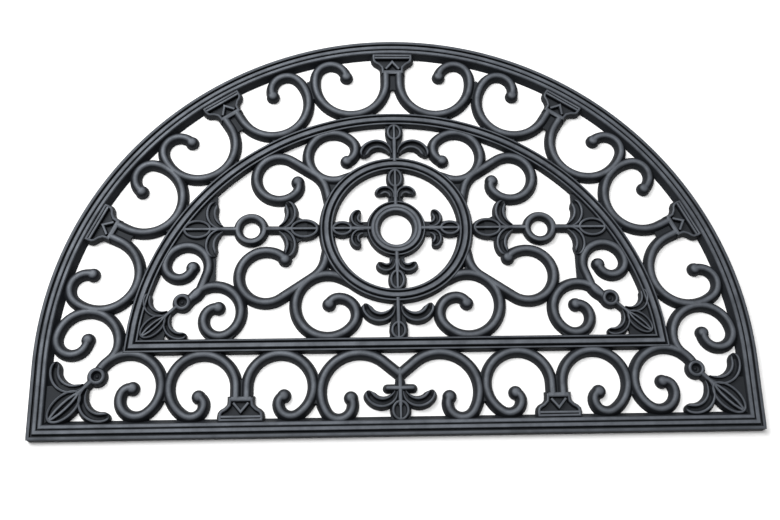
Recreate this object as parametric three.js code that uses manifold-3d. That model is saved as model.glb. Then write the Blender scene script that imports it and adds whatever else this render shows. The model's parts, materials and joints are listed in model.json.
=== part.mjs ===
// Half-round rubber doormat: one moulded, openwork slab in a wrought-iron scroll pattern.
// Plan sizes are in millimetres: x from the centre line, y from the straight front edge.
import * as THREE from "three";
import { ParametricGeometry } from "three/addons/geometries/ParametricGeometry.js";
import { mergeVertices } from "three/addons/utils/BufferGeometryUtils.js";
import Module from "manifold-3d";

const wasm = await Module();
wasm.setup();

// Driving dimensions
const WIDTH = 750;
const DEPTH = 450;
const THICKNESS = 8;
const LIP_HEIGHT = 6.5;
const GROOVE_HEIGHT = 5;
const LEAF_HEIGHT = 7;
const WEB_HEIGHT = 4.5;
const ARCH_RADIUS = WIDTH / 2;
const ARCH_CENTRE = [0, DEPTH - ARCH_RADIUS];
const BORDER_WIDTH = 19;
const CORNER_RADIUS = 4;
const LEAST_CORNER = 0.6;
const FRAME_RADIUS = 284;
const FRAME_FRONT = 88.5;
const FRAME_WIDTH = 14;
const RING_CENTRE = [0, 223];
const RING_RADIUS = 82;
const HUB_RADIUS = 31.5;
const EYE_CENTRE = [155.5, 223];
const EYE_RADIUS = 19;
const CLASP_BEARINGS = [-63.8, -32.6, 0, 32.6, 63.8];
const FRONT_CLASP_X = 162;
const BULB_RADIUS = 7.4;
const NODE_RADIUS = 10.5;
const OUTER_NODE = [308.5, 65];
const INNER_NODE = [225.5, 142.5];
const BORDER_SAG = 0.69;
const SCROLL_SAG = 1.5;
const ROUND_SAG = 1.2;
const COLOUR = 0x23262b;

// Sections: offset across the bar, height above the floor
const BORDER_SECTION = [
  { inset: 0, height: 0 },
  { inset: 0.8, height: LIP_HEIGHT },
  { inset: 4.4, height: LIP_HEIGHT },
  { inset: 5.5, height: GROOVE_HEIGHT },
  { inset: 6.8, height: THICKNESS },
  { inset: 10, height: THICKNESS },
  { inset: 11.2, height: GROOVE_HEIGHT + 1 },
  { inset: 12.4, height: THICKNESS },
  { inset: 16, height: THICKNESS },
  { inset: BORDER_WIDTH, height: 0 },
];
const FRAME_SECTION = [
  { inset: 0, height: 0 },
  { inset: 0.8, height: LIP_HEIGHT },
  { inset: 3.2, height: GROOVE_HEIGHT },
  { inset: 4.6, height: THICKNESS },
  { inset: 9.4, height: THICKNESS },
  { inset: 10.8, height: GROOVE_HEIGHT },
  { inset: 13.2, height: LIP_HEIGHT },
  { inset: FRAME_WIDTH, height: 0 },
];
const HUB_SECTION = [
  { inset: 0, height: 0 },
  { inset: 0.5, height: LIP_HEIGHT },
  { inset: 2.4, height: LIP_HEIGHT },
  { inset: 3.4, height: GROOVE_HEIGHT },
  { inset: 4.8, height: THICKNESS },
  { inset: 11.5, height: THICKNESS },
  { inset: 14.5, height: 0 },
];
const EYE_SECTION = [
  { inset: 0, height: 0 },
  { inset: 1, height: 5.2 },
  { inset: 3.6, height: THICKNESS },
  { inset: 6, height: THICKNESS },
  { inset: 8.8, height: 5.2 },
  { inset: 10, height: 0 },
];
const BAR_SECTION = [
  { across: -5.7, height: 0 },
  { across: -2.6, height: THICKNESS },
  { across: 2.6, height: THICKNESS },
  { across: 5.7, height: 0 },
];
const PETAL_SECTION = [
  { across: -5.2, height: 0 },
  { across: 0, height: LEAF_HEIGHT },
  { across: 5.2, height: 0 },
];
const STEM_SECTION = [
  { across: -4.4, height: 0 },
  { across: 0, height: LEAF_HEIGHT },
  { across: 4.4, height: 0 },
];
const BULB_SECTION = [
  { radius: 0, height: 0 },
  { radius: BULB_RADIUS, height: 0 },
  { radius: 4, height: THICKNESS },
  { radius: 0, height: THICKNESS },
];
const NODE_SECTION = [
  { radius: 0, height: 0 },
  { radius: NODE_RADIUS, height: 0 },
  { radius: 8, height: THICKNESS },
  { radius: 0, height: THICKNESS },
];

// Scrolls: a body arc from one bearing to another about its centre, the tighter legs that follow it
// and the lead that comes before it, which is listed from the body backwards.
// In the arch band the centre is taken from the arch centre, with the clasp straight ahead on +y.
const ARCH_SCROLL = {
  centre: [47.4, 323.6], radius: 40, from: 180, to: 372,
  lead: [{ run: 11 }],
  legs: [{ radius: 17.5, turn: 160 }],
};
const FIELD_SCROLLS = [
  {
    centre: [320.5, 101.5], radius: 32, from: 200, to: 9,
    lead: [{ run: 8 }, { radius: 22, turn: 40 }, { run: 7 }], legs: [{ radius: 16, turn: 188 }],
  },
  {
    centre: [41.5, 46], radius: 40, from: 130, to: -32,
    lead: [{ run: 20 }], legs: [{ radius: 14.5, turn: 178 }],
  },
  {
    centre: [122.5, 52.5], radius: 34, from: 0, to: 238,
    lead: [{ run: 14 }], legs: [{ radius: 13, turn: 120 }, { radius: 9, turn: 70 }],
  },
  {
    centre: [201.5, 52.5], radius: 34, from: 180, to: -58,
    lead: [{ run: 14 }], legs: [{ radius: 13, turn: 120 }, { radius: 9, turn: 70 }],
  },
  {
    centre: [277, 54.5], radius: 34, from: 18, to: 236,
    lead: [], legs: [{ radius: 17, turn: 150 }, { radius: 9, turn: 80 }],
  },
  {
    centre: [67, 307.5], radius: 28, from: 240, to: 497,
    lead: [], legs: [{ radius: 15, turn: 113 }],
  },
  {
    centre: [126, 282], radius: 25, from: 123, to: -138,
    lead: [{ run: 29.5 }, { radius: 30, turn: 57 }, { run: 10 }], legs: [{ radius: 11, turn: 72 }],
  },
  {
    centre: [139, 170], radius: 28.5, from: 236, to: 470,
    lead: [{ run: 41.5 }, { radius: 30, turn: 56 }, { run: 8 }], legs: [{ radius: 22, turn: 34 }],
  },
  {
    centre: [222, 182], radius: 23, from: 200, to: 10,
    lead: [{ run: 18 }, { radius: 18, turn: 45 }, { run: 10 }], legs: [{ radius: 14.5, turn: 180 }],
  },
  {
    centre: [192, 132.5], radius: 28, from: 40, to: 241,
    lead: [{ run: 12 }], legs: [{ radius: 16.5, turn: 150 }, { radius: 12, turn: 70 }],
  },
  {
    centre: [74, 138], radius: 34, from: 116, to: -140,
    lead: [], legs: [{ radius: 18.5, turn: 130 }, { radius: 11, turn: 70 }],
  },
];

// Sprays: stem, leaf and a pair of petal arcs along an axis that starts at a root.
// The petals' bearings are read from the axis, and the second petal mirrors the first.
// A tie is a short bar across the stem.
const CORNER_SPRAY = {
  stem: { from: 6, to: 27 },
  leaf: { at: 46, length: 44, width: 22 },
  petal: { at: [13, 21], radius: 18.5, from: -84, to: 74 },
};
const INNER_SPRAY = { ...CORNER_SPRAY, stem: { from: 0, to: 27 } };
const SPOKE_SPRAY = {
  stem: { from: 27, to: 50 },
  leaf: { at: 58, length: 20, width: 14 },
  petal: { at: [37, 11.5], radius: 7.5, from: -100, to: 75 },
};
const CROSS_SPRAY = {
  stem: { from: 14, to: 44 },
  leaf: { at: 57, length: 28, width: 19 },
  petal: { at: [26.5, 18], radius: 16.5, from: -78, to: 44 },
};
const AXIS_SPRAY = {
  stem: { from: 78, to: 106 },
  leaf: { at: 113, length: 17, width: 14 },
  petal: { at: [84, 19], radius: 15, from: -76, to: 92 },
};
const FRONT_SPRAY = {
  stem: { from: -4, to: 34 },
  leaf: { at: 39, length: 19, width: 16 },
  petal: { at: [16.5, 19], radius: 15, from: -78, to: 96 },
  tie: { at: 16, reach: 13 },
};
const FRONT_ROOT = [0, 65];
const INNER_ROOT = [230, 138.5];
const SPRAYS = [
  { spray: CORNER_SPRAY, root: OUTER_NODE, bearing: -45, scale: 1, twin: true },
  { spray: INNER_SPRAY, root: INNER_ROOT, bearing: -42, scale: 0.76, twin: true },
  { spray: CROSS_SPRAY, root: EYE_CENTRE, bearing: 0, scale: 1, twin: true },
  { spray: CROSS_SPRAY, root: EYE_CENTRE, bearing: 180, scale: 1, twin: true },
  { spray: SPOKE_SPRAY, root: RING_CENTRE, bearing: 0, scale: 1, twin: true },
  { spray: SPOKE_SPRAY, root: RING_CENTRE, bearing: 90, scale: 1, twin: false },
  { spray: SPOKE_SPRAY, root: RING_CENTRE, bearing: -90, scale: 1, twin: false },
  { spray: AXIS_SPRAY, root: RING_CENTRE, bearing: 90, scale: 1, twin: false },
  { spray: AXIS_SPRAY, root: RING_CENTRE, bearing: -90, scale: 1, twin: false },
  { spray: FRONT_SPRAY, root: FRONT_ROOT, bearing: -90, scale: 1, twin: false },
];

// Low webs that fill narrow corners of the right half, as plan corners
const WEBS = [
  { corners: [[318, 58], [358, 56], [358, 18], [326, 46]] },
  { corners: [[240, 126], [262, 138], [272, 98], [244, 98]] },
  { corners: [[66, 170], [82, 170], [80, 188]] },
  { corners: [[62, 276], [78, 258], [80, 276]] },
  { corners: [[192, 262], [192, 202], [246, 204], [236, 226], [206, 258]] },
  { corners: [[192, 204], [201, 204], [201, 158], [192, 158]] },
];

// Clasp where a scroll pair meets the border: across the axis, and in from the border
const CLASP_HALF = [[22.5, -3], [22.5, 5], [16, 11.5], [10.5, 16], [9.5, 23]];
const CLASP_WEB = [[-8, 20], [8, 20], [0, 42]];

// Plan helpers
const radians = (degrees) => THREE.MathUtils.degToRad(degrees);

function polar(centre, radius, bearing) {
  const angle = radians(bearing);
  return [centre[0] + radius * Math.cos(angle), centre[1] + radius * Math.sin(angle)];
}

const asDrawn = (point) => point;

function mirrored(place) {
  return (point) => place([-point[0], point[1]]);
}

function mirroredResult(place) {
  return (point) => {
    const [x, y] = place(point);
    return [-x, y];
  };
}

// Turns a point by a bearing and moves it to a root; bearing 0 keeps +x along +x.
function placedAt(root, bearing, scale = 1) {
  const cos = Math.cos(radians(bearing)) * scale;
  const sin = Math.sin(radians(bearing)) * scale;
  return ([x, y]) => [root[0] + x * cos - y * sin, root[1] + x * sin + y * cos];
}

// Steps that keep every chord of an arc within a sag of the true curve
function stepsFor(radius, turn, sag = ROUND_SAG) {
  const step = 2 * Math.acos(1 - sag / radius);
  return Math.max(1, Math.ceil(radians(Math.abs(turn)) / step));
}

// A flat line of arcs and straight runs, read by equal steps within each leg
class LegLine extends THREE.Curve {
  constructor(legs, place) {
    super();
    this.legs = legs;
    this.place = place;
    this.steps = legs.reduce((sum, leg) => sum + leg.steps, 0);
  }

  getPoint(t) {
    let step = t * this.steps;
    let leg = this.legs[0];
    for (leg of this.legs) {
      if (step <= leg.steps) break;
      step -= leg.steps;
    }
    const [x, y] = this.place(leg.at(Math.min(step / leg.steps, 1)));
    return new THREE.Vector3(x, y, 0);
  }

  getUtoTmapping(u) {
    return u;
  }
}

function arcLeg(centre, radius, from, to) {
  const at = (share) => polar(centre, radius, from + (to - from) * share);
  return { at, steps: stepsFor(radius, to - from, SCROLL_SAG) };
}

function runLeg(start, end) {
  const at = (share) => [start[0] + (end[0] - start[0]) * share, start[1] + (end[1] - start[1]) * share];
  return { at, steps: 1 };
}

// The legs of a scroll, its lead first, and the point where it ends
function scrollLegs({ centre, radius, from, to, lead, legs }) {
  const sense = Math.sign(to - from);
  const line = [arcLeg(centre, radius, from, to)];
  let pivot = centre;
  let reach = radius;
  let bearing = to;
  for (const leg of legs) {
    pivot = polar(pivot, reach - leg.radius, bearing);
    line.push(arcLeg(pivot, leg.radius, bearing, bearing + sense * leg.turn));
    reach = leg.radius;
    bearing += sense * leg.turn;
  }
  const tip = polar(pivot, reach, bearing);
  let start = polar(centre, radius, from);
  bearing = from;
  for (const leg of lead) {
    if (leg.run) {
      const before = polar(start, leg.run, bearing - sense * 90);
      line.unshift(runLeg(before, start));
      start = before;
    } else {
      pivot = polar(start, -leg.radius, bearing);
      line.unshift(arcLeg(pivot, leg.radius, bearing - sense * leg.turn, bearing));
      bearing -= sense * leg.turn;
      start = polar(pivot, leg.radius, bearing);
    }
  }
  return { line, tip };
}

// Solid helpers
function solidOf(geometry) {
  geometry.deleteAttribute("normal");
  geometry.deleteAttribute("uv");
  const merged = mergeVertices(geometry, 1e-4);
  const vertProperties = new Float32Array(merged.attributes.position.array);
  const triVerts = new Uint32Array(merged.index.array);
  return new wasm.Manifold(new wasm.Mesh({ numProp: 3, vertProperties, triVerts }));
}

function joined(solids) {
  return solids.reduce((sum, solid) => sum.add(solid));
}

// A bar of constant section along a flat line
function bar(legs, section, place) {
  const line = new LegLine(legs, place);
  const outline = section.map(({ across, height }) => new THREE.Vector2(-height, across));
  const shape = new THREE.Shape(outline);
  return solidOf(new THREE.ExtrudeGeometry(shape, { steps: line.steps, extrudePath: line }));
}

function plate(corners, height, place) {
  const shape = new THREE.Shape(corners.map((corner) => new THREE.Vector2(...place(corner))));
  return solidOf(new THREE.ExtrudeGeometry(shape, { depth: height, bevelEnabled: false }));
}

function turned(section, segments, [x, y]) {
  const profile = section.map(({ radius, height }) => new THREE.Vector2(radius, height));
  return solidOf(new THREE.LatheGeometry(profile, segments).rotateX(Math.PI / 2).translate(x, y, 0));
}

// A round ring: its section is closed on itself and read inwards from the outer radius
function ring(section, radius, segments, [x, y]) {
  const profile = section.map(({ inset, height }) => new THREE.Vector2(radius - inset, height));
  profile.push(profile[0].clone());
  return solidOf(new THREE.LatheGeometry(profile, segments).rotateX(Math.PI / 2).translate(x, y, 0));
}

// A closed frame: the section runs round an outline that is offset inwards
function frame(section, outlineAt) {
  const outlines = section.map(({ inset }) => outlineAt(inset));
  const around = outlines[0].length;
  const surface = (u, v, target) => {
    const row = Math.round(u * section.length) % section.length;
    const [x, y] = outlines[row][Math.round((1 - v) * around) % around];
    target.set(x, y, section[row].height);
  };
  return solidOf(new ParametricGeometry(surface, section.length, around));
}

function arcPoints(centre, radius, from, to, steps) {
  return Array.from({ length: steps + 1 }, (_, i) => polar(centre, radius, from + ((to - from) * i) / steps));
}

// Sub-parts
function borderOutline(inset) {
  const corner = Math.max(CORNER_RADIUS - inset, LEAST_CORNER);
  const side = ARCH_RADIUS - inset;
  const right = arcPoints([side - corner, inset + corner], corner, -90, 0, 2);
  const left = arcPoints([corner - side, inset + corner], corner, 180, 270, 2);
  const arch = arcPoints(ARCH_CENTRE, side, 0, 180, stepsFor(ARCH_RADIUS, 180, BORDER_SAG));
  return [...right, ...arch, ...left];
}

function frameOutline(inset) {
  const radius = FRAME_RADIUS - inset;
  const rise = FRAME_FRONT + inset - ARCH_CENTRE[1];
  const start = THREE.MathUtils.radToDeg(Math.asin(rise / radius));
  return arcPoints(ARCH_CENTRE, radius, start, 180 - start, stepsFor(FRAME_RADIUS, 180, BORDER_SAG));
}

function rings() {
  const eyeSteps = stepsFor(EYE_RADIUS, 360);
  return [
    ring(FRAME_SECTION, RING_RADIUS, stepsFor(RING_RADIUS, 360), RING_CENTRE),
    ring(HUB_SECTION, HUB_RADIUS, stepsFor(HUB_RADIUS, 360), RING_CENTRE),
    ring(EYE_SECTION, EYE_RADIUS, eyeSteps, EYE_CENTRE),
    ring(EYE_SECTION, EYE_RADIUS, eyeSteps, mirrored(asDrawn)(EYE_CENTRE)),
  ];
}

function scroll(row, place) {
  const { line, tip } = scrollLegs(row);
  const bulb = turned(BULB_SECTION, stepsFor(BULB_RADIUS, 360, SCROLL_SAG), place(tip));
  return [bar(line, BAR_SECTION, place), bulb];
}

function archScrolls() {
  return CLASP_BEARINGS.flatMap((bearing) => {
    const place = placedAt(ARCH_CENTRE, bearing);
    return [...scroll(ARCH_SCROLL, place), ...scroll(ARCH_SCROLL, mirrored(place))];
  });
}

function fieldScrolls() {
  return FIELD_SCROLLS.flatMap((row) => [
    ...scroll(row, asDrawn),
    ...scroll(row, mirrored(asDrawn)),
  ]);
}

function clasp(place) {
  const left = CLASP_HALF.map(([across, along]) => [-across, along]).reverse();
  return [plate([...CLASP_HALF, ...left], LEAF_HEIGHT, place), plate(CLASP_WEB, WEB_HEIGHT, place)];
}

function clasps() {
  const inner = ARCH_RADIUS - BORDER_WIDTH;
  const arch = CLASP_BEARINGS.flatMap((bearing) => {
    const ray = 90 + bearing;
    return clasp(placedAt(polar(ARCH_CENTRE, inner, ray), ray + 90));
  });
  const front = [-FRONT_CLASP_X, FRONT_CLASP_X].flatMap((x) => clasp(placedAt([x, BORDER_WIDTH], 0)));
  return [...arch, ...front];
}

// An oval blade, read round its own centre
function leaf({ at, length, width }, place) {
  const steps = 2 * stepsFor(length / 2, 180);
  const outline = Array.from({ length: steps }, (_, i) => {
    const [cos, sin] = polar([0, 0], 1, (360 * i) / steps);
    return [at + (length / 2) * cos, (width / 2) * sin];
  });
  return plate(outline, LEAF_HEIGHT, place);
}

function spray(row, place) {
  const { stem, petal, tie } = row;
  const petalLegs = (side) => [
    arcLeg([petal.at[0], side * petal.at[1]], petal.radius, side * petal.from, side * petal.to),
  ];
  const tieBar = tie ? [bar([runLeg([tie.at, -tie.reach], [tie.at, tie.reach])], STEM_SECTION, place)] : [];
  return [
    ...tieBar,
    bar([runLeg([stem.from, 0], [stem.to, 0])], STEM_SECTION, place),
    bar(petalLegs(1), PETAL_SECTION, place),
    bar(petalLegs(-1), PETAL_SECTION, place),
    leaf(row.leaf, place),
  ];
}

function sprays() {
  return SPRAYS.flatMap(({ spray: row, root, bearing, scale, twin }) => {
    const place = placedAt(root, bearing, scale);
    return twin ? [...spray(row, place), ...spray(row, mirroredResult(place))] : spray(row, place);
  });
}

function nodes() {
  const steps = stepsFor(NODE_RADIUS, 360);
  return [OUTER_NODE, INNER_NODE].flatMap((centre) => [
    turned(NODE_SECTION, steps, centre),
    turned(NODE_SECTION, steps, mirrored(asDrawn)(centre)),
  ]);
}

function webs() {
  return WEBS.flatMap(({ corners }) => [
    plate(corners, WEB_HEIGHT, asDrawn),
    plate(corners, WEB_HEIGHT, mirrored(asDrawn)),
  ]);
}

function matGeometry() {
  const solid = joined([
    frame(BORDER_SECTION, borderOutline),
    frame(FRAME_SECTION, frameOutline),
    ...rings(),
    ...archScrolls(),
    ...fieldScrolls(),
    ...clasps(),
    ...sprays(),
    ...nodes(),
    ...webs(),
  ]);
  const { vertProperties, triVerts } = solid.getMesh();
  return new THREE.BufferGeometry()
    .setAttribute("position", new THREE.BufferAttribute(vertProperties, 3))
    .setIndex(new THREE.BufferAttribute(triVerts, 1));
}

const rubber = new THREE.MeshStandardMaterial({ color: COLOUR, roughness: 0.55, metalness: 0 });
const mat = new THREE.Mesh(matGeometry(), rubber);
mat.name = "mat";
mat.position.y = -DEPTH / 2;

const doormat = new THREE.Group();
doormat.add(mat);

export default doormat;
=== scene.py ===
"""Half-round openwork rubber doormat, moulded in one piece in a wrought-iron scroll pattern."""

import json
import math

import bmesh
import bpy
from bmesh.types import BMEdge, BMFace, BMVert
from mathutils import Matrix, Vector

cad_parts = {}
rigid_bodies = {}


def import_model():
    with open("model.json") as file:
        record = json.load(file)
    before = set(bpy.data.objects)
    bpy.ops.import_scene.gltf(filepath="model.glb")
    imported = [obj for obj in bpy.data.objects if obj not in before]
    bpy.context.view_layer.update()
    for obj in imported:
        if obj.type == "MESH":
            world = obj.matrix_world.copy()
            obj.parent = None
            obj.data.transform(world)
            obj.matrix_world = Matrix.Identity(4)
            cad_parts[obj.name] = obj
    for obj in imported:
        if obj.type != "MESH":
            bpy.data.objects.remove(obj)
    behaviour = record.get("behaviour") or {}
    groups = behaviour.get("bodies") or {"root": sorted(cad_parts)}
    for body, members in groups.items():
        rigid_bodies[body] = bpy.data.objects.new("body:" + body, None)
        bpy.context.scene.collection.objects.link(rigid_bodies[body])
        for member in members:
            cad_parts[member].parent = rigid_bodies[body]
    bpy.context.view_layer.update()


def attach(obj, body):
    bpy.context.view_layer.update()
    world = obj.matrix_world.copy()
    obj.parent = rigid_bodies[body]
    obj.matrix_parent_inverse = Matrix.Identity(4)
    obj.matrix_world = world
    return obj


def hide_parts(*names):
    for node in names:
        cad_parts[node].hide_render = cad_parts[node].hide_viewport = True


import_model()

# Plan sizes in millimetres: x from the centre line, y from the straight front edge
DEPTH = 450
THICKNESS = 8
ARCH_RADIUS = 375
ARCH_CENTRE = (0, 75)
BORDER_WIDTH = 19
CORNER_RADIUS = 4
FRAME_RADIUS = 284
FRAME_FRONT = 88.5
FRAME_SPRING = 9
RING_CENTRE = (0, 223)
RING_RADIUS = 82
HUB_RADIUS = 31.5
EYE_CENTRE = (155.5, 223)
EYE_RADIUS = 19
CLASP_BEARINGS = (-63.8, -32.6, 0, 32.6, 63.8)
FRONT_CLASP_X = 162
OUTER_NODE = (308.5, 65)
INNER_NODE = (225.5, 142.5)
NODES = (OUTER_NODE, INNER_NODE)
PLATE_HEIGHT = 2.4
WEB_HEIGHT = 4.2
TO_METRES = Matrix.Scale(0.001, 4) @ Matrix.Translation((0, -DEPTH / 2, 0))
MIRROR = Matrix.Scale(-1, 4, (1, 0, 0))
AS_DRAWN = Matrix.Identity(4)
ACROSS_X = Vector((1, 0, 0))
UPRIGHT_AXIS = (0, 0, 1)

# A rim is raised on a plate by steps of (inset, rise). A leaf's foot stands out this far round its blade.
RIM_FOOT = 3
RIM_STEPS = ((1.8, 3.9), (0.5, 1.1), (1.0, 0.4), (1.0, -0.4), (0.5, -1.1), (0.8, -3.2))

# Fineness: chords in millimetres, then the steps of a full turn or of a corner
STEP = 2.4
PETAL_STEP = 1.5
LONG_STEP = 6
ROUND_STEPS = 72
LEAF_STEPS = 36
NODE_STEPS = 32
BULB_STEPS = 24
KNOB_STEPS = 20
CORNER_STEPS = 4
FEWEST_STEPS = 2
SMOOTH_ANGLE = math.radians(34)

# Points nearer than this are one point: in millimetres for a blank, in metres for the fused mat
MERGE_REACH = 0.0005
WELD_REACH = 1e-5
# The front corners are rounded along upright edges, found this near to a corner and taller than this
CORNER_REACH = 0.5
UPRIGHT_RISE = 1
ROUND_BEVEL = 0.5
# A bend of a ridge widens its section by no more than the inverse of this share
MITRE_LIMIT = 0.5

# Half sections are (offset, height), from the foot to the crest on the centre line
BAR_HALF = ((6.6, 0), (6.0, 1.8), (5.2, 3.8), (4.1, 5.6), (2.8, 7.0), (1.4, 7.75), (0, THICKNESS))
STEM_HALF = ((5.0, 0), (4.3, 2.8), (2.9, 5.2), (2.1, 6.8), (1.2, 7.6), (0, 7.8))
PETAL_HALF = (
    (7.0, 0), (6.5, 2.4), (5.6, 4.6), (4.9, 6.7), (4.4, 7.6), (3.5, 7.9), (2.6, 7.5), (2.0, 5.2),
    (1.5, 3.4), (0.7, 2.9), (0, 2.8),
)
TIE_HALF = ((3.4, 0), (3.0, 4.6), (2.3, 7.2), (1.4, 7.7), (0, 7.8))
VEIN_HALF = ((2.3, 2.2), (1.9, 4.8), (1.5, 6.8), (0.9, 7.6), (0, 7.8))

# Ring and frame sections are (inset from the outer edge, height)
FRAME_SECTION = (
    (-1.6, 0), (-0.8, 2.6), (0.2, 6.4), (0.9, 7.5), (2.2, 7.5), (3.0, 5.2), (3.8, 4.4), (4.5, 7.2),
    (5.3, 8.0), (7.0, 7.8), (8.7, 8.0), (9.5, 7.2), (10.2, 4.4), (11.0, 5.2), (11.8, 7.5), (13.1, 7.5),
    (13.8, 6.4), (14.8, 2.6), (15.6, 0),
)
BORDER_SECTION = (
    (0, 0), (0.3, 6.0), (0.9, 7.1), (2.4, 7.5), (3.9, 7.1), (4.6, 4.6), (5.7, 4.2), (6.4, 7.3), (7.1, 8.0),
    (9.7, 8.0), (10.4, 7.5), (10.9, 5.6), (11.5, 5.6), (12.0, 7.5), (12.7, 8.0), (14.8, 8.0), (15.8, 7.3),
    (17.6, 3.4), (BORDER_WIDTH + 1.6, 0),
)
HUB_SECTION = (
    (-1.2, 0), (-0.5, 2.6), (0.2, 6.4), (0.8, 7.5), (1.7, 7.4), (2.6, 4.6), (3.6, 4.2), (4.3, 7.3),
    (5.0, 8.0), (7.4, 8.0), (8.0, 7.2), (8.6, 7.2), (9.2, 8.0), (11.0, 8.0), (12.2, 7.0), (13.6, 3.4),
    (14.6, 0),
)
EYE_SECTION = (
    (0, 0), (0.5, 3.6), (1.6, 6.0), (3.0, 7.6), (4.6, 8.0), (6.4, 7.6), (8.2, 6.0), (9.5, 3.6), (10, 0),
)

# Turned profiles are (radius, height) from the underside to the top
BULB_PROFILE = ((0, 0), (7.5, 0), (7.3, 2.0), (6.4, 4.8), (4.8, 6.9), (2.7, 7.8), (0, 8.0))
NODE_PROFILE = (
    (0, 0), (11.0, 0), (10.2, 3.4), (9.2, 6.2), (8.0, 7.6), (6.8, THICKNESS), (5.6, 7.6), (4.6, 5.8),
    (3.6, 3.4), (2.2, 2.8), (1.3, 4.0), (0, 4.6),
)

# Trims are cutters, taller than the mat, that end a bar inside the wall it runs into
TRIM_LOW, TRIM_HIGH = -2, THICKNESS + 2
FRAME_TRIM = ((0.2, TRIM_LOW), (0.2, TRIM_HIGH), (13.8, TRIM_HIGH), (13.8, TRIM_LOW))
BORDER_TRIM = ((0, TRIM_LOW), (0, TRIM_HIGH), (16, TRIM_HIGH), (16, TRIM_LOW))
NODE_TRIM = ((0, TRIM_LOW), (9, TRIM_LOW), (9, TRIM_HIGH), (0, TRIM_HIGH))

# Scrolls: a body arc between two bearings, the tighter legs after it and the lead before it,
# which is listed from the body backwards. A leg is (radius, turn), and a radius of 0 is a straight run.
# A radius and turn below 0 bend the lead the other way.
ARCH_SCROLL = {"centre": (47.4, 323.6), "radius": 40, "from": 180, "to": 372,
               "lead": ((0, 11),), "legs": ((17.5, 160),)}
FIELD_SCROLLS = (
    {"centre": (320.5, 101.5), "radius": 32, "from": 185, "to": 9,
     "lead": ((24.5, 47), (-34, -30)), "legs": ((16, 188),)},
    {"centre": (41.5, 46), "radius": 40, "from": 130, "to": -32,
     "lead": ((0, 20),), "legs": ((14.5, 178),)},
    {"centre": (122.5, 52.5), "radius": 34, "from": 0, "to": 238,
     "lead": ((0, 14),), "legs": ((13, 120), (9, 70))},
    {"centre": (201.5, 52.5), "radius": 34, "from": 180, "to": -58,
     "lead": ((0, 14),), "legs": ((13, 120), (9, 70))},
    {"centre": (277, 54.5), "radius": 34, "from": 18, "to": 236,
     "lead": (), "legs": ((17, 150), (9, 80))},
    {"centre": (67, 307.5), "radius": 28, "from": 250, "to": 497,
     "lead": ((0, 28),), "legs": ((15, 113),)},
    {"centre": (126, 282), "radius": 25, "from": 123, "to": -138,
     "lead": ((0, 29.5), (30, 45), (0, 22)), "legs": ((11, 72),)},
    {"centre": (139, 170), "radius": 28.5, "from": 236, "to": 470,
     "lead": ((0, 41.5), (30, 45), (0, 21)), "legs": ((22, 34),)},
    {"centre": (222, 182), "radius": 23, "from": 200, "to": 10,
     "lead": ((0, 18), (18, 45), (0, 10)), "legs": ((14.5, 180),)},
    {"centre": (192, 132.5), "radius": 28, "from": 40, "to": 241,
     "lead": ((0, 12),), "legs": ((16.5, 150), (12, 70))},
    {"centre": (74, 138), "radius": 34, "from": 116, "to": -140,
     "lead": ((0, 21),), "legs": ((18.5, 130), (11, 70))},
)

# Sprays lie along +x from their root. A stem is (start, end), a leaf is (middle, length, width), and
# veins are offsets from the leaf's axis. A backing is a low plate under the stem and the leaf, as
# (along, half width). A tie is a short bar across the stem, as (along, reach).
# A petal is an arc, one of a pair. Its widths are shares of the full section from the stem to the tip.
HORN = (0.35, 0.8, 1.0, 1.1, 1.1, 1.05, 0.9)
CURL = (0.55, 0.75, 0.88, 0.92, 0.9, 0.85)
# A petal's round tip: its loops, how far they close in, and how far the top falls
TIP_STEPS = 7
TIP_CLOSING = 0.97
TIP_DROP = 0.4
# A vein's line, as shares of the leaf's length from its middle and of the vein's offset
VEIN_BOW = ((-0.46, 0.2), (-0.36, 0.55), (-0.2, 0.9), (0, 1), (0.2, 0.9), (0.36, 0.55), (0.46, 0.2))
CORNER_SPRAY = {
    "stem": (6, 27), "leaf": (43.5, 40, 22), "veins": (-3, 3), "backing": (), "tie": None,
    "petal": {"at": (13, 21), "radius": 18.5, "from": -84, "to": 78, "widths": HORN},
}
INNER_SPRAY = {**CORNER_SPRAY, "stem": (0, 27)}
SPOKE_SPRAY = {
    "stem": (27, 50), "leaf": (58, 20, 14), "veins": (0,), "tie": None,
    "backing": ((28, 8), (44, 8), (50, 8), (69, 8)),
    "petal": {"at": (37, 11.5), "radius": 7.5, "from": -100, "to": 84, "widths": CURL},
}
CROSS_SPRAY = {
    "stem": (14, 44), "leaf": (57, 28, 19), "veins": (0,), "tie": None,
    "backing": ((30, 5), (40, 12), (46, 16), (54, 12), (60, 10)),
    "petal": {"at": (26.5, 18), "radius": 16.5, "from": -78, "to": 50, "widths": HORN},
}
AXIS_SPRAY = {
    "stem": (78, 106), "leaf": (113, 17, 14), "veins": (0,), "tie": None,
    "backing": ((80, 4), (104, 8), (108, 9.5), (124, 9.5)),
    "petal": {"at": (84, 19), "radius": 15, "from": -76, "to": 92, "widths": HORN},
}
FRONT_SPRAY = {
    "stem": (-4, 34), "leaf": (39, 19, 16), "veins": (0,), "tie": (16, 13),
    "backing": ((8, 5), (28, 8), (32, 10), (48, 10)),
    "petal": {"at": (16.5, 18.5), "radius": 14.5, "from": -78, "to": 84, "widths": HORN},
}
FRONT_ROOT = (0, 65)
INNER_ROOT = (230, 138.5)
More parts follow.
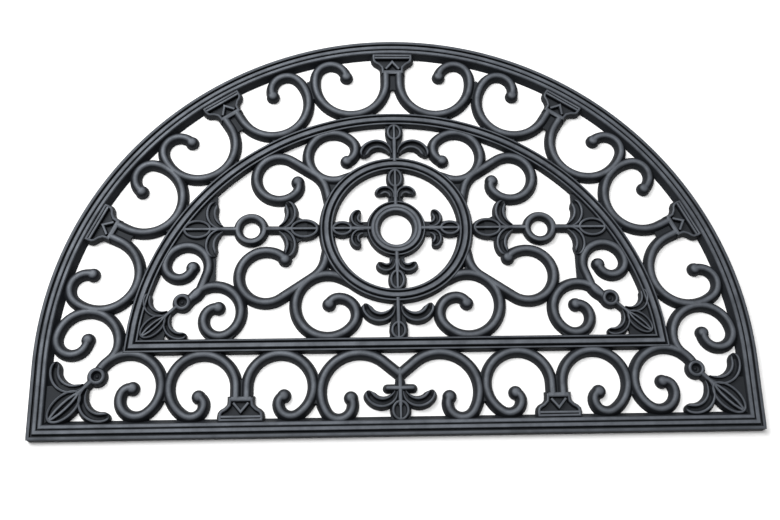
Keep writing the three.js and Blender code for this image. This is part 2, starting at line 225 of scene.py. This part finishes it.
SPRAYS = (
    {"spray": CORNER_SPRAY, "root": OUTER_NODE, "bearing": -45, "scale": 1, "twin": True},
    {"spray": INNER_SPRAY, "root": INNER_ROOT, "bearing": -42, "scale": 0.76, "twin": True},
    {"spray": CROSS_SPRAY, "root": EYE_CENTRE, "bearing": 0, "scale": 1, "twin": True},
    {"spray": CROSS_SPRAY, "root": EYE_CENTRE, "bearing": 180, "scale": 1, "twin": True},
    {"spray": SPOKE_SPRAY, "root": RING_CENTRE, "bearing": 0, "scale": 1, "twin": True},
    {"spray": SPOKE_SPRAY, "root": RING_CENTRE, "bearing": 90, "scale": 1, "twin": False},
    {"spray": SPOKE_SPRAY, "root": RING_CENTRE, "bearing": -90, "scale": 1, "twin": False},
    {"spray": AXIS_SPRAY, "root": RING_CENTRE, "bearing": 90, "scale": 1, "twin": False},
    {"spray": AXIS_SPRAY, "root": RING_CENTRE, "bearing": -90, "scale": 1, "twin": False},
    {"spray": FRONT_SPRAY, "root": FRONT_ROOT, "bearing": -90, "scale": 1, "twin": False},
)

# Low webs of the right half, as plan corners
WEBS = (
    ((318, 58), (358, 56), (358, 18), (326, 46)),
    ((240, 126), (262, 138), (272, 98), (244, 98)),
    ((66, 170), (82, 170), (80, 188)),
    ((62, 276), (80, 276), (78, 258)),
    ((192, 262), (192, 202), (246, 204), (236, 226), (206, 258)),
    ((192, 204), (201, 204), (201, 158), (192, 158)),
)

# Clasp: across the axis, and in from the border's inner edge
CLASP_HALF = ((24, -4), (24.3, 3), (23.5, 7.5), (21, 10.5), (17, 12.8), (14.4, 15.6), (14, 19), (14, 24))
CLASP_WEB = ((-8, 20), (8, 20), (9, 43), (0, 41), (-9, 43))
CLASP_CHEVRON = ((-7.5, 16.5), (0, 7.5), (7.5, 16.5))
CLASP_SILL = ((-20, 2.5), (20, 2.5))
CLASP_TIE = ((-10, 20.6), (10, 20.6))

# Gussets: low plates where two bars touch, as the touching point, the bearing that the plate runs
# along and its reach to either side. Those of the arch band are drawn with the clasp on +y.
ARCH_GUSSETS = (
    ((41.2, 281), -8.3, 21), ((87.9, 315), 74.4, 12),
)
FIELD_GUSSETS = (
    ((41.5, 89), 0, 20), ((122.5, 89.5), 0, 20),
    ((201.5, 89.5), 0, 20), ((277, 91), 0, 15), ((85.3, 49.5), 94.6, 18), ((239.2, 53.5), 91.5, 17),
    ((75.7, 337.3), 163.9, 15), ((140.7, 306.4), 148.7, 14), ((245.3, 193), 115.7, 13),
    ((74, 101), 0, 20), ((186, 102), 0, 16), ((165.6, 151.2), 54.7, 8), ((94.2, 295.7), 66.6, 6),
)
GUSSET_HALF_WIDTH = 5.5
GUSSET_HOLLOW = 3
GUSSET_SHOULDER = 0.8

# Rubber: near black where it lies low, which is partly painted shade, and paler and smoother on the
# crests, where the paler colour is a painted highlight along with real scuffing. Values by socket.
RUBBER_SURFACE = {"Specular IOR Level": 0.28, "Specular Tint": (0.86, 0.93, 1, 1)}
RUBBER_CLOUD = {"Scale": 60, "Detail": 6, "Roughness": 0.62}
RUBBER_CREST = {"From Min": 0.0064, "From Max": 0.0080}
RUBBER_PATCHES = {"From Min": 0.3, "From Max": 0.7, "To Min": 0.5}
RUBBER_SHEEN = {"To Min": 0.66, "To Max": 0.36}
RUBBER_GRAIN = {"Scale": 900, "Detail": 3}
RUBBER_BUMP = {"Strength": 0.25, "Distance": 0.0004}
# The tones run from painted shade on the low parts to a painted highlight with scuffing on the crests.
RUBBER_SHADE_AND_HIGHLIGHT_TONES = (
    {"position": 0.05, "color": (0.0062, 0.0071, 0.0092, 1)},
    {"position": 0.95, "color": (0.088, 0.097, 0.113, 1)},
)

# Floor, lamps and camera, in metres. The floor lies just under the mat.
FLOOR_HALF = 40
FLOOR_DROP = 0.0004
FLOOR_SURFACE = {"Base Color": (0.9, 0.9, 0.9, 1), "Roughness": 0.9}
KEY_PLACE = (-1.1, 1.2, 1.8)
KEY_WIDTH, KEY_HEIGHT = 2.0, 1.2
KEY_POWER = 70
FILL_PLACE = (-0.1, 0.5, 2.6)
FILL_SPREAD = math.radians(42)
FILL_STRENGTH = 2.1
SKY = {"Color": (1, 1, 1, 1), "Strength": 0.06}
CAMERA_ELEVATION = math.radians(71.396)
CAMERA_AZIMUTH = math.radians(-7.595)
CAMERA_ROLL = math.radians(6.698)
CAMERA_DISTANCE = 1.115084
CAMERA_TARGET = Vector((-0.007701, -0.038856, 0.008))
CAMERA_LENS = 48.46
CAMERA_SENSOR = 36


def polar(centre, radius, bearing):
    """The plan point at a radius and a bearing in degrees from a centre."""
    angle = math.radians(bearing)
    return Vector((centre[0] + radius * math.cos(angle), centre[1] + radius * math.sin(angle), 0))


def full_section(half):
    """Both sides of a half section, from one foot over the crest to the other foot."""
    return [(-offset, height) for offset, height in half] + list(reversed(half[:-1]))


def placed_at(root, bearing=0, scale=1):
    """The place of a shape drawn along +x: turned to a bearing and moved to a root, its heights kept."""
    turn = Matrix.Rotation(math.radians(bearing), 4, "Z")
    return Matrix.Translation((root[0], root[1], 0)) @ turn @ Matrix.Diagonal((scale, scale, 1, 1))


def section_loop(bm, section, at, across):
    """A closed loop of edges: a section stood at a plan point, its offsets along a plan direction."""
    verts = [bm.verts.new(at + across * offset + Vector((0, 0, height))) for offset, height in section]
    return [bm.edges.new(pair) for pair in zip(verts, verts[1:] + verts[:1])]


def of_kind(geom, kind):
    """The vertices, edges or faces among mixed geometry."""
    return [item for item in geom if isinstance(item, kind)]


def verts_of(edges):
    """The vertices of a loop, each one once."""
    return {vert for edge in edges for vert in edge.verts}


def turn_loop(bm, edges, pivot, turn, steps):
    """Carries a section loop round an arc, and returns it at the far end."""
    spun = bmesh.ops.spin(bm, geom=edges, cent=pivot, axis=UPRIGHT_AXIS, angle=turn, steps=steps)
    return of_kind(spun["geom_last"], BMEdge)


def turn_fully(bm, edges, steps):
    """Spins edges a whole turn about the plan origin."""
    bmesh.ops.spin(bm, geom=edges, axis=UPRIGHT_AXIS, angle=math.tau, steps=steps, use_merge=True)


def run_loop(bm, edges, move=(0, 0, 0)):
    """Carries a section loop along a straight line, and returns it at the far end."""
    grown = bmesh.ops.extrude_edge_only(bm, edges=edges)["geom"]
    verts = of_kind(grown, BMVert)
    bmesh.ops.translate(bm, verts=verts, vec=move)
    moved = set(verts)
    return [edge for edge in of_kind(grown, BMEdge) if moved.issuperset(edge.verts)]


def cap(bm, first, last):
    """Closes both ends of a bar."""
    bmesh.ops.contextual_create(bm, geom=first)
    bmesh.ops.contextual_create(bm, geom=last)


def finish_mesh(bm, name):
    """A closed mesh from a bmesh, its faces outwards, still in plan millimetres."""
    bmesh.ops.remove_doubles(bm, verts=bm.verts, dist=MERGE_REACH)
    bmesh.ops.recalc_face_normals(bm, faces=bm.faces)
    open_edges = [edge for edge in bm.edges if len(edge.link_faces) != 2]
    if open_edges:
        raise ValueError(f"{name} has {len(open_edges)} open edges")
    mesh = bpy.data.meshes.new(name)
    bm.to_mesh(mesh)
    bm.free()
    return mesh


def loft(bm, loops, name):
    """A closed mesh through section loops in their order."""
    for near, far in zip(loops, loops[1:]):
        bmesh.ops.bridge_loops(bm, edges=near + far)
    cap(bm, loops[0], loops[-1])
    return finish_mesh(bm, name)


def new_tray(name):
    """A collection that holds closed meshes until they are fused."""
    tray = bpy.data.collections.new(name)
    bpy.context.scene.collection.children.link(tray)
    return tray


def lay(tray, mesh, place=AS_DRAWN):
    """Puts a copy of a plan mesh in a tray, at its place and in metres."""
    copy = mesh.copy()
    copy.transform(TO_METRES @ place)
    if place.determinant() < 0:
        copy.flip_normals()
    tray.objects.link(bpy.data.objects.new(mesh.name, copy))


def lay_pair(tray, mesh, place=AS_DRAWN):
    """Lays a mesh on the right half of the mat and its mirror image on the left half."""
    lay(tray, mesh, place)
    lay(tray, mesh, MIRROR @ place)


def fuse(piece, tray, operation):
    """Joins a tray's meshes to a piece or cuts them from it, and empties the tray."""
    step = piece.modifiers.new("fuse", "BOOLEAN")
    step.operation = operation
    step.operand_type = "COLLECTION"
    step.collection = tray
    step.solver = "MANIFOLD"
    graph = bpy.context.evaluated_depsgraph_get()
    mesh = bpy.data.meshes.new_from_object(piece.evaluated_get(graph))
    piece.modifiers.clear()
    piece.data = mesh
    for blank in list(tray.objects):
        bpy.data.objects.remove(blank)
    bpy.data.collections.remove(tray)


def weld(mesh):
    """Closes the hairline steps that fusing leaves, and takes out triangles that lie back to back."""
    bm = bmesh.new()
    bm.from_mesh(mesh)
    bmesh.ops.remove_doubles(bm, verts=bm.verts, dist=WELD_REACH)
    bmesh.ops.triangulate(bm, faces=bm.faces, ngon_method="BEAUTY")
    stacks = {}
    for face in bm.faces:
        stacks.setdefault(frozenset(face.verts), []).append(face)
    doubled = [face for stack in stacks.values() if len(stack) > 1 for face in stack]
    bmesh.ops.delete(bm, geom=doubled, context="FACES")
    bmesh.ops.recalc_face_normals(bm, faces=bm.faces)
    bm.to_mesh(mesh)
    bm.free()


def ring_mesh(name, section, radius):
    """A round ring about the plan origin."""
    bm = bmesh.new()
    standing = [(radius - inset, height) for inset, height in section]
    turn_fully(bm, section_loop(bm, standing, Vector(), ACROSS_X), ROUND_STEPS)
    return finish_mesh(bm, name)


def turned_mesh(name, profile, steps):
    """A button turned about its own axis from a profile of (radius, height)."""
    bm = bmesh.new()
    verts = [bm.verts.new((radius, 0, height)) for radius, height in profile]
    turn_fully(bm, [bm.edges.new(pair) for pair in zip(verts, verts[1:])], steps)
    return finish_mesh(bm, name)


def close_front(bm, far, spring, mitre):
    """Carries an arch's left end to a mitre at the front, across to the right, and up to the spring."""
    left = run_loop(bm, far)
    for vert in verts_of(left):
        mitre(vert)
    right = run_loop(bm, left)
    for vert in verts_of(right):
        vert.co.x = -vert.co.x
    bmesh.ops.bridge_loops(bm, edges=right + spring)


def border_mitre(vert):
    """Drops a point of the border's side to the front, as far in as it lies from the outer edge."""
    vert.co.y = ARCH_RADIUS + vert.co.x


def border_mesh(profile):
    """The border runs over the arch, down the left side, along the front and up the right side."""
    bm = bmesh.new()
    section = [(ARCH_RADIUS - inset, height) for inset, height in profile]
    steps = round(math.pi * ARCH_RADIUS / LONG_STEP)
    spring = section_loop(bm, section, Vector((*ARCH_CENTRE, 0)), ACROSS_X)
    far = turn_loop(bm, spring, (*ARCH_CENTRE, 0), math.pi, steps)
    close_front(bm, far, spring, border_mitre)
    corners = [
        edge for edge in bm.edges
        if abs(edge.verts[0].co.z - edge.verts[1].co.z) > UPRIGHT_RISE
        and all(abs(abs(vert.co.x) - ARCH_RADIUS) < CORNER_REACH for vert in edge.verts)
        and all(vert.co.y < CORNER_REACH for vert in edge.verts)
    ]
    bmesh.ops.bevel(bm, geom=corners, offset=CORNER_RADIUS, offset_type="OFFSET", affect="EDGES",
                    segments=CORNER_STEPS, profile=ROUND_BEVEL, material=-1)
    return finish_mesh(bm, "border")


def frame_mitre(vert):
    """Slides a point of the frame's arch down to where it meets the front bar."""
    radius = (vert.co.xy - Vector(ARCH_CENTRE)).length
    vert.co.y = FRAME_FRONT + FRAME_RADIUS - radius
    vert.co.x = -math.sqrt(radius ** 2 - (vert.co.y - ARCH_CENTRE[1]) ** 2)


def frame_mesh(profile):
    """The inner frame: its arch is spun, and mitres join it to the straight front bar."""
    bm = bmesh.new()
    section = [(FRAME_RADIUS - inset, height) for inset, height in profile]
    sweep = math.radians(180 - 2 * FRAME_SPRING)
    steps = round(sweep * FRAME_RADIUS / LONG_STEP)
    spring = section_loop(bm, section, Vector((*ARCH_CENTRE, 0)), polar((0, 0), 1, FRAME_SPRING))
    far = turn_loop(bm, spring, (*ARCH_CENTRE, 0), sweep, steps)
    close_front(bm, far, spring, frame_mitre)
    return finish_mesh(bm, "frame")


def scroll_legs(row):
    """The start of a scroll, the direction across it, its legs in order and its tip.

    A leg is an arc with a pivot, a radius and a turn, or a straight move.
    """
    sense = math.copysign(1, row["to"] - row["from"])
    pivot, reach, bearing = Vector((*row["centre"], 0)), row["radius"], row["to"]
    legs = [{"pivot": pivot, "radius": reach, "turn": row["to"] - row["from"]}]
    for radius, turn in row["legs"]:
        pivot = polar(pivot, reach - radius, bearing)
        legs.append({"pivot": pivot, "radius": radius, "turn": sense * turn})
        reach = radius
        bearing += sense * turn
    tip = polar(pivot, reach, bearing)
    start, bearing = polar(row["centre"], row["radius"], row["from"]), row["from"]
    for radius, amount in row["lead"]:
        if radius:
            pivot = polar(start, -radius, bearing)
            legs.insert(0, {"pivot": pivot, "radius": radius, "turn": sense * amount})
            bearing -= sense * amount
            start = polar(pivot, radius, bearing)
        else:
            before = polar(start, amount, bearing - sense * 90)
            legs.insert(0, {"move": start - before})
            start = before
    return start, polar((0, 0), 1, bearing), legs, tip


def scroll_mesh(row):
    """A scroll bar, and the plan point of its tip."""
    bm = bmesh.new()
    start, across, legs, tip = scroll_legs(row)
    first = section_loop(bm, full_section(BAR_HALF), start, across)
    last = first
    for leg in legs:
        if "move" in leg:
            last = run_loop(bm, last, leg["move"])
        else:
            turn = math.radians(leg["turn"])
            steps = max(FEWEST_STEPS, round(abs(turn * leg["radius"]) / STEP))
            last = turn_loop(bm, last, leg["pivot"], turn, steps)
    cap(bm, first, last)
    return finish_mesh(bm, "scroll"), tip


def lay_scrolls(tray):
    """Every scroll bar with a bulb at its tip: a pair to each clasp of the arch, then the field."""
    bulb = turned_mesh("bulb", BULB_PROFILE, BULB_STEPS)
    mesh, tip = scroll_mesh(ARCH_SCROLL)
    for bearing in CLASP_BEARINGS:
        place = placed_at(ARCH_CENTRE, bearing)
        for side in (AS_DRAWN, MIRROR):
            lay(tray, mesh, place @ side)
            lay(tray, bulb, place @ side @ Matrix.Translation(tip))
    for row in FIELD_SCROLLS:
        mesh, tip = scroll_mesh(row)
        lay_pair(tray, mesh)
        lay_pair(tray, bulb, Matrix.Translation(tip))


def lay_nodes(tray, name, profile):
    """A turned button or cutter at every node of the corner sprays."""
    node = turned_mesh(name, profile, NODE_STEPS)
    for spot in NODES:
        lay_pair(tray, node, placed_at(spot))


def lay_trims(tray):
    """Cutters that end the scroll bars at the walls of the border, frame, ring and nodes."""
    lay(tray, border_mesh(BORDER_TRIM))
    lay(tray, frame_mesh(FRAME_TRIM))
    lay(tray, ring_mesh("ring_trim", FRAME_TRIM, RING_RADIUS), placed_at(RING_CENTRE))
    lay_nodes(tray, "node_trim", NODE_TRIM)


def lay_trimmed_scrolls(tray):
    """All the scrolls, fused into one blank and trimmed."""
    bars = new_tray("bars")
    lay_scrolls(bars)
    first = bars.objects[0]
    bars.objects.unlink(first)
    tray.objects.link(first)
    fuse(first, bars, "UNION")
    trims = new_tray("trims")
    lay_trims(trims)
    fuse(first, trims, "DIFFERENCE")


def raised(bm, base, height):
    """Raises a face off the floor into a plate, and returns the plate's top face."""
    grown = bmesh.ops.extrude_face_region(bm, geom=[base])["geom"]
    bmesh.ops.translate(bm, verts=of_kind(grown, BMVert), vec=(0, 0, height))
    bmesh.ops.recalc_face_normals(bm, faces=bm.faces)
    return of_kind(grown, BMFace)[0]


def add_rim(bm, top):
    """Slopes a plate's wall up to a narrow raised rim and sinks the middle."""
    for thickness, depth in RIM_STEPS:
        bmesh.ops.inset_individual(bm, faces=[top], thickness=thickness, depth=depth, use_even_offset=True)


def plate_mesh(name, corners, height, rim=False):
    """A flat plate on the floor, with a raised rim or plain."""
    bm = bmesh.new()
    base = bm.faces.new([bm.verts.new((x, y, 0)) for x, y in corners])
    top = raised(bm, base, height)
    if rim:
        add_rim(bm, top)
    return finish_mesh(bm, name)


def web_mesh(corners):
    """A plain low plate."""
    return plate_mesh("web", corners, WEB_HEIGHT)


def ridge_mesh(name, half, points):
    """A ridge along a bent line of plan points, mitred at its bends."""
    bm = bmesh.new()
    spots = [Vector((x, y, 0)) for x, y in points]
    ways = [(b - a).normalized() for a, b in zip(spots, spots[1:])]
    loops = []
    for spot, before, after in zip(spots, ways[:1] + ways, ways + ways[-1:]):
        way = (before + after).normalized()
        across = Vector((-way.y, way.x, 0))
        square = Vector((-after.y, after.x, 0))
        spread = across / max(across.dot(square), MITRE_LIMIT)
        loops.append(section_loop(bm, full_section(half), spot, spread))
    return loft(bm, loops, name)


def petal_section(width, past):
    """A petal's section. Past its tip's start, from 0 to 1, the groove fills and the top falls."""
    close = math.sqrt(1 - TIP_CLOSING * past ** 2)
    crest_at, crest = max(PETAL_HALF, key=lambda point: point[1])
    section = []
    for offset, height in full_section(PETAL_HALF):
        if abs(offset) < crest_at:
            height += (crest - height) * past
        section.append((offset * width * close, height * (1 - TIP_DROP * (1 - close))))
    return section


def petal_mesh(petal, side):
    """A hooked petal with two raised edges that meet round its tip, lofted along an arc."""
    bm = bmesh.new()
    widths = petal["widths"]
    turn = petal["to"] - petal["from"]
    length = abs(math.radians(turn)) * petal["radius"]
    tip = 1 - PETAL_HALF[0][0] * widths[-1] / length
    steps = round(length * tip / PETAL_STEP)
    shares = [tip * step / steps for step in range(steps)]
    shares += [tip + (1 - tip) * math.sin(math.pi / 2 * step / TIP_STEPS) for step in range(TIP_STEPS + 1)]
    centre = Vector((petal["at"][0], side * petal["at"][1], 0))
    loops = []
    for share in shares:
        at = share * (len(widths) - 1)
        low = min(int(at), len(widths) - 2)
        width = widths[low] + (widths[low + 1] - widths[low]) * (at - low)
        section = petal_section(width, max(0, share - tip) / (1 - tip))
        bearing = side * (petal["from"] + turn * share)
        spot = polar(centre, petal["radius"], bearing)
        loops.append(section_loop(bm, section, spot, polar((0, 0), 1, bearing)))
    return loft(bm, loops, "petal")


def leaf_mesh(at, length, width):
    """An oval blade with a raised rim and a sunk middle."""
    bm = bmesh.new()
    bmesh.ops.create_circle(bm, cap_ends=True, segments=LEAF_STEPS, radius=0.5)
    bmesh.ops.scale(bm, verts=bm.verts, vec=(length + 2 * RIM_FOOT, width + 2 * RIM_FOOT, 1))
    bmesh.ops.translate(bm, verts=bm.verts, vec=(at, 0, 0))
    oval = next(iter(bm.faces))
    add_rim(bm, raised(bm, oval, PLATE_HEIGHT))
    return finish_mesh(bm, "leaf")


def both_sides(half):
    """A closed outline from the half on the right of its axis."""
    return list(half) + [(-across, along) for across, along in reversed(half)]


def backing_mesh(half):
    """The low plate under a spray, from its half widths along the axis."""
    return web_mesh(list(half) + [(along, -across) for along, across in reversed(half)])


def spray_meshes(spray):
    """The meshes of one spray, drawn along +x."""
    at, length, width = spray["leaf"]
    veins = [[(at + length * along, vein * aside) for along, aside in VEIN_BOW] for vein in spray["veins"]]
    extras = []
    if spray["backing"]:
        extras.append(backing_mesh(spray["backing"]))
    if spray["tie"]:
        along, reach = spray["tie"]
        extras.append(ridge_mesh("tie", STEM_HALF, ((along, -reach), (along, reach))))
        for end in (-reach, reach):
            knob = turned_mesh("tie_end", ((0, 0), *STEM_HALF), KNOB_STEPS)
            knob.transform(Matrix.Translation((along, end, 0)))
            extras.append(knob)
    return extras + [
        ridge_mesh("stem", STEM_HALF, [(along, 0) for along in spray["stem"]]),
        petal_mesh(spray["petal"], 1),
        petal_mesh(spray["petal"], -1),
        leaf_mesh(at, length, width),
        *(ridge_mesh("vein", VEIN_HALF, line) for line in veins),
    ]


def lay_sprays(tray):
    """Every spray at its root, with a mirrored twin where its row says so."""
    for row in SPRAYS:
        place = placed_at(row["root"], row["bearing"], row["scale"])
        for mesh in spray_meshes(row["spray"]):
            if row["twin"]:
                lay_pair(tray, mesh, place)
            else:
                lay(tray, mesh, place)


def lay_clasps(tray):
    """Two clasps on the front of the border and one at each bearing of the arch."""
    meshes = [
        plate_mesh("clasp", both_sides(CLASP_HALF), PLATE_HEIGHT, rim=True),
        web_mesh(CLASP_WEB),
        ridge_mesh("chevron", VEIN_HALF, CLASP_CHEVRON),
        ridge_mesh("sill", VEIN_HALF, CLASP_SILL),
        ridge_mesh("tie", TIE_HALF, CLASP_TIE),
    ]
    inner = ARCH_RADIUS - BORDER_WIDTH
    places = [placed_at((x, BORDER_WIDTH)) for x in (-FRONT_CLASP_X, FRONT_CLASP_X)]
    for bearing in CLASP_BEARINGS:
        ray = 90 + bearing
        places.append(placed_at(polar(ARCH_CENTRE, inner, ray), ray + 90))
    for place in places:
        for mesh in meshes:
            lay(tray, mesh, place)


def lay_rounds(tray):
    """The ring and hub in the middle, the eyes on the cross stem and the nodes of the corner sprays."""
    lay(tray, ring_mesh("ring", FRAME_SECTION, RING_RADIUS), placed_at(RING_CENTRE))
    lay(tray, ring_mesh("hub", HUB_SECTION, HUB_RADIUS), placed_at(RING_CENTRE))
    lay_pair(tray, ring_mesh("eye", EYE_SECTION, EYE_RADIUS), placed_at(EYE_CENTRE))
    lay_nodes(tray, "node", NODE_PROFILE)


def gusset_mesh(reach):
    """A low plate along +x whose two ends are hollowed."""
    wide, near = GUSSET_HALF_WIDTH, reach - GUSSET_HOLLOW
    side = near + GUSSET_SHOULDER
    end = [(reach, -wide), (side, -wide / 2), (near, 0), (side, wide / 2), (reach, wide)]
    return web_mesh(end + [(-x, -y) for x, y in end])


def lay_webs(tray):
    """The low webs and gussets, in the field and round the arch."""
    for corners in WEBS:
        lay_pair(tray, web_mesh(corners))
    for spot, bearing, reach in FIELD_GUSSETS:
        lay_pair(tray, gusset_mesh(reach), placed_at(spot, bearing))
    for clasp in CLASP_BEARINGS:
        for spot, bearing, reach in ARCH_GUSSETS:
            for side in (AS_DRAWN, MIRROR):
                place = placed_at(ARCH_CENTRE, clasp) @ side @ placed_at(spot, bearing)
                lay(tray, gusset_mesh(reach), place)


def moulded_mat():
    """One closed mesh: the border, with everything inside it fused on."""
    blanks = new_tray("blanks")
    lay(blanks, frame_mesh(FRAME_SECTION))
    lay_trimmed_scrolls(blanks)
    lay_rounds(blanks)
    lay_clasps(blanks)
    lay_sprays(blanks)
    lay_webs(blanks)
    border = border_mesh(BORDER_SECTION)
    border.transform(TO_METRES)
    mat = bpy.data.objects.new("mat_rubber", border)
    bpy.context.scene.collection.objects.link(mat)
    fuse(mat, blanks, "UNION")
    weld(mat.data)
    mat.data.name = "mat_rubber"
    mat.data.polygons.foreach_set("use_smooth", [True] * len(mat.data.polygons))
    mat.data.set_sharp_from_angle(angle=SMOOTH_ANGLE)
    return mat


def set_inputs(node, values):
    """Sets a node's plain values by socket."""
    for socket, value in values.items():
        node.inputs[socket].default_value = value


def add_node(tree, kind, values=None):
    """A new node with its plain values set by socket."""
    node = tree.nodes.new(kind)
    set_inputs(node, values or {})
    return node


def rubber_material():
    """Black rubber: painted shade where it lies low, a painted highlight with cloudy scuffs on the crests,
    and a fine moulded grain all over.
    """
    material = bpy.data.materials.new("moulded_rubber")
    material.use_nodes = True
    tree = material.node_tree
    link = tree.links.new
    shader = tree.nodes["Principled BSDF"]
    set_inputs(shader, RUBBER_SURFACE)
    place = add_node(tree, "ShaderNodeTexCoord").outputs["Object"]

    cloud = add_node(tree, "ShaderNodeTexNoise", RUBBER_CLOUD)
    link(place, cloud.inputs["Vector"])
    patches = add_node(tree, "ShaderNodeMapRange", RUBBER_PATCHES)
    link(cloud.outputs["Fac"], patches.inputs["Value"])
    height = add_node(tree, "ShaderNodeSeparateXYZ")
    link(place, height.inputs["Vector"])
    # Height mask: the crests get the painted highlight and scuffs, and the low parts get the painted
    # shade.
    crest = add_node(tree, "ShaderNodeMapRange", RUBBER_CREST)
    crest.interpolation_type = "SMOOTHSTEP"
    link(height.outputs["Z"], crest.inputs["Value"])
    scuff_and_highlight = add_node(tree, "ShaderNodeMath")
    scuff_and_highlight.operation = "MULTIPLY"
    link(crest.outputs["Result"], scuff_and_highlight.inputs[0])
    link(patches.outputs["Result"], scuff_and_highlight.inputs[1])

    # Base colour by height: painted shade low down, and a painted highlight with scuffs on the crests.
    tone = add_node(tree, "ShaderNodeValToRGB")
    for element, stop in zip(tone.color_ramp.elements, RUBBER_SHADE_AND_HIGHLIGHT_TONES):
        element.position = stop["position"]
        element.color = stop["color"]
    link(scuff_and_highlight.outputs["Value"], tone.inputs["Fac"])
    link(tone.outputs["Color"], shader.inputs["Base Color"])
    sheen = add_node(tree, "ShaderNodeMapRange", RUBBER_SHEEN)
    link(scuff_and_highlight.outputs["Value"], sheen.inputs["Value"])
    link(sheen.outputs["Result"], shader.inputs["Roughness"])

    grain = add_node(tree, "ShaderNodeTexNoise", RUBBER_GRAIN)
    link(place, grain.inputs["Vector"])
    bump = add_node(tree, "ShaderNodeBump", RUBBER_BUMP)
    link(grain.outputs["Fac"], bump.inputs["Height"])
    link(bump.outputs["Normal"], shader.inputs["Normal"])
    return material


def floor():
    """A plain pale floor, kept as stage."""
    bm = bmesh.new()
    bmesh.ops.create_grid(bm, x_segments=1, y_segments=1, size=FLOOR_HALF)
    bmesh.ops.translate(bm, verts=bm.verts, vec=(0, 0, -FLOOR_DROP))
    mesh = bpy.data.meshes.new("floor")
    bm.to_mesh(mesh)
    bm.free()
    plane = bpy.data.objects.new("floor", mesh)
    bpy.context.scene.collection.objects.link(plane)
    material = bpy.data.materials.new("pale_floor")
    material.use_nodes = True
    set_inputs(material.node_tree.nodes["Principled BSDF"], FLOOR_SURFACE)
    mesh.materials.append(material)


def place_lamp(data, place):
    """Hangs a lamp at a place, turned towards the mat."""
    lamp = bpy.data.objects.new(data.name, data)
    lamp.location = place
    lamp.rotation_euler = Vector(place).to_track_quat("Z", "Y").to_euler()
    bpy.context.scene.collection.objects.link(lamp)


def lights():
    """A broad key from the far left, a soft fill from above and a faint white sky."""
    key = bpy.data.lights.new("key_far_left", "AREA")
    key.shape = "RECTANGLE"
    key.size = KEY_WIDTH
    key.size_y = KEY_HEIGHT
    key.energy = KEY_POWER
    place_lamp(key, KEY_PLACE)
    fill = bpy.data.lights.new("fill_above", "SUN")
    fill.angle = FILL_SPREAD
    fill.energy = FILL_STRENGTH
    place_lamp(fill, FILL_PLACE)
    world = bpy.data.worlds.new("studio")
    world.use_nodes = True
    set_inputs(world.node_tree.nodes["Background"], SKY)
    bpy.context.scene.world = world
    bpy.context.scene.view_settings.view_transform = "Standard"


def camera():
    """The camera that matches the photo's view."""
    flat, rise = math.cos(CAMERA_ELEVATION), math.sin(CAMERA_ELEVATION)
    back = Vector((math.sin(CAMERA_AZIMUTH) * flat, -math.cos(CAMERA_AZIMUTH) * flat, rise))
    level = Vector((math.cos(CAMERA_AZIMUTH), math.sin(CAMERA_AZIMUTH), 0))
    upright = back.cross(level)
    right = level * math.cos(CAMERA_ROLL) + upright * math.sin(CAMERA_ROLL)
    up = upright * math.cos(CAMERA_ROLL) - level * math.sin(CAMERA_ROLL)
    data = bpy.data.cameras.new("camera")
    data.sensor_width = CAMERA_SENSOR
    data.lens = CAMERA_LENS
    view = bpy.data.objects.new("camera", data)
    turn = Matrix((right, up, back)).transposed().to_4x4()
    view.matrix_world = Matrix.Translation(CAMERA_TARGET + back * CAMERA_DISTANCE) @ turn
    bpy.context.scene.collection.objects.link(view)
    bpy.context.scene.camera = view


camera()
lights()
floor()
mat = moulded_mat()
mat.data.materials.clear()
mat.data.materials.append(rubber_material())
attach(mat, "root")
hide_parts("mat")
